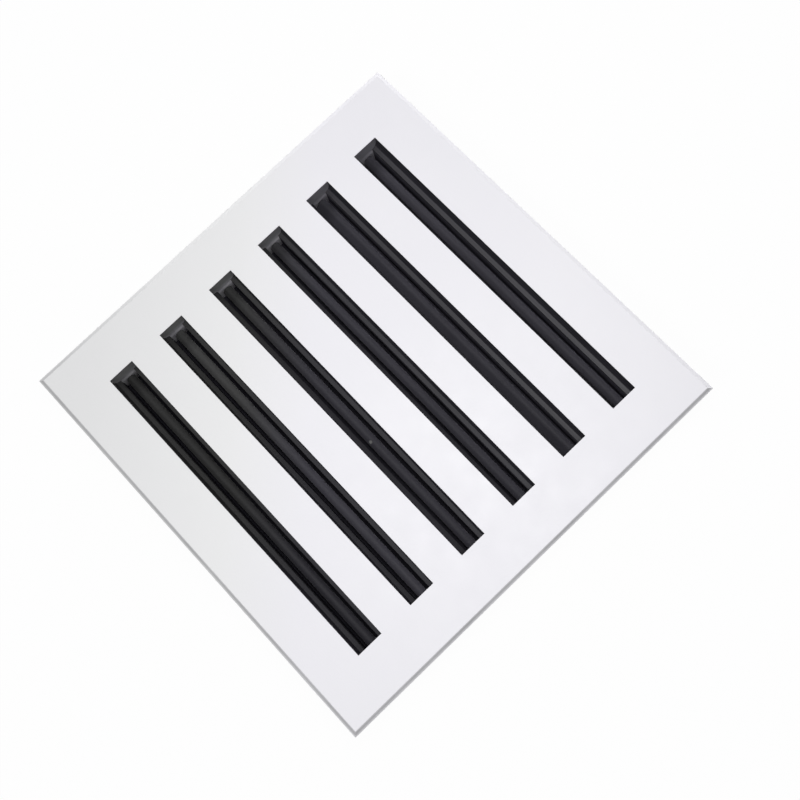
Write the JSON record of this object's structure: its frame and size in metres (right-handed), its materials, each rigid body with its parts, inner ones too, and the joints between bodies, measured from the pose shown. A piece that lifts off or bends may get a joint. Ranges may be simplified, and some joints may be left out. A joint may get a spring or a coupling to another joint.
{
  "type": "linear slot diffuser",
  "caption": "Square white ceiling panel with a row of long black air slots, each with a pivoting deflector blade in an extruded throat behind it.",
  "frame": {"origin": "centre of the visible face of the panel", "axes": "+Z is the face's outward normal, up as the diffuser lies on its back and down into the room once it hangs in a ceiling; +Y runs along the slots; +X runs across them"},
  "size_m": [0.595, 0.595, 0.066],
  "materials": {
    "white_powder_coat": "satin",
    "black_extrusion": "satin",
    "black_blade": "satin",
    "black_moulding": "matte",
    "turned_steel": "satin",
    "nylon": "matte",
    "zinc_fastener": "satin",
    "black_fastener": "satin",
    "galvanised_sheet": "satin"
  },
  "bodies": {
    "frame": {"face_panel": "white_powder_coat", "left_rail_1": "black_extrusion", "left_rail_2": "black_extrusion", "left_rail_3": "black_extrusion", "left_rail_4": "black_extrusion", "left_rail_5": "black_extrusion", "left_rail_6": "black_extrusion", "right_rail_1": "black_extrusion", "right_rail_2": "black_extrusion", "right_rail_3": "black_extrusion", "right_rail_4": "black_extrusion", "right_rail_5": "black_extrusion", "right_rail_6": "black_extrusion", "front_cap_1": "black_moulding", "front_cap_2": "black_moulding", "front_cap_3": "black_moulding", "front_cap_4": "black_moulding", "front_cap_5": "black_moulding", "front_cap_6": "black_moulding", "rear_cap_1": "black_moulding", "rear_cap_2": "black_moulding", "rear_cap_3": "black_moulding", "rear_cap_4": "black_moulding", "rear_cap_5": "black_moulding", "rear_cap_6": "black_moulding", "friction_washers": "nylon", "rail_studs": "zinc_fastener", "rail_nuts": "zinc_fastener", "cap_screws": "black_fastener", "front_cross_bar": "galvanised_sheet", "rear_cross_bar": "galvanised_sheet", "bar_rivets": "zinc_fastener"},
    "blade_1": {"deflector_blade_1": "black_blade", "pivot_pins_1": "turned_steel"},
    "blade_2": {"deflector_blade_2": "black_blade", "pivot_pins_2": "turned_steel"},
    "blade_3": {"deflector_blade_3": "black_blade", "pivot_pins_3": "turned_steel"},
    "blade_4": {"deflector_blade_4": "black_blade", "pivot_pins_4": "turned_steel"},
    "blade_5": {"deflector_blade_5": "black_blade", "pivot_pins_5": "turned_steel"},
    "blade_6": {"deflector_blade_6": "black_blade", "pivot_pins_6": "turned_steel"}
  },
  "joints": [
    {"name": "blade_1_tilt", "type": "hinge", "parent": "frame", "child": "blade_1", "pos_m": [-0.2125, 0, -0.0381], "axis": [0, 1, 0], "range_deg": [-90, 90]},
    {"name": "blade_2_tilt", "type": "hinge", "parent": "frame", "child": "blade_2", "pos_m": [-0.1275, 0, -0.0381], "axis": [0, 1, 0], "range_deg": [-85, 95]},
    {"name": "blade_3_tilt", "type": "hinge", "parent": "frame", "child": "blade_3", "pos_m": [-0.0425, 0, -0.0381], "axis": [0, 1, 0], "range_deg": [-98, 82]},
    {"name": "blade_4_tilt", "type": "hinge", "parent": "frame", "child": "blade_4", "pos_m": [0.0425, 0, -0.0381], "axis": [0, 1, 0], "range_deg": [-115, 65]},
    {"name": "blade_5_tilt", "type": "hinge", "parent": "frame", "child": "blade_5", "pos_m": [0.1275, 0, -0.0381], "axis": [0, 1, 0], "range_deg": [-170, 10]},
    {"name": "blade_6_tilt", "type": "hinge", "parent": "frame", "child": "blade_6", "pos_m": [0.2125, 0, -0.0381], "axis": [0, 1, 0], "range_deg": [-126, 54]}
  ]
}
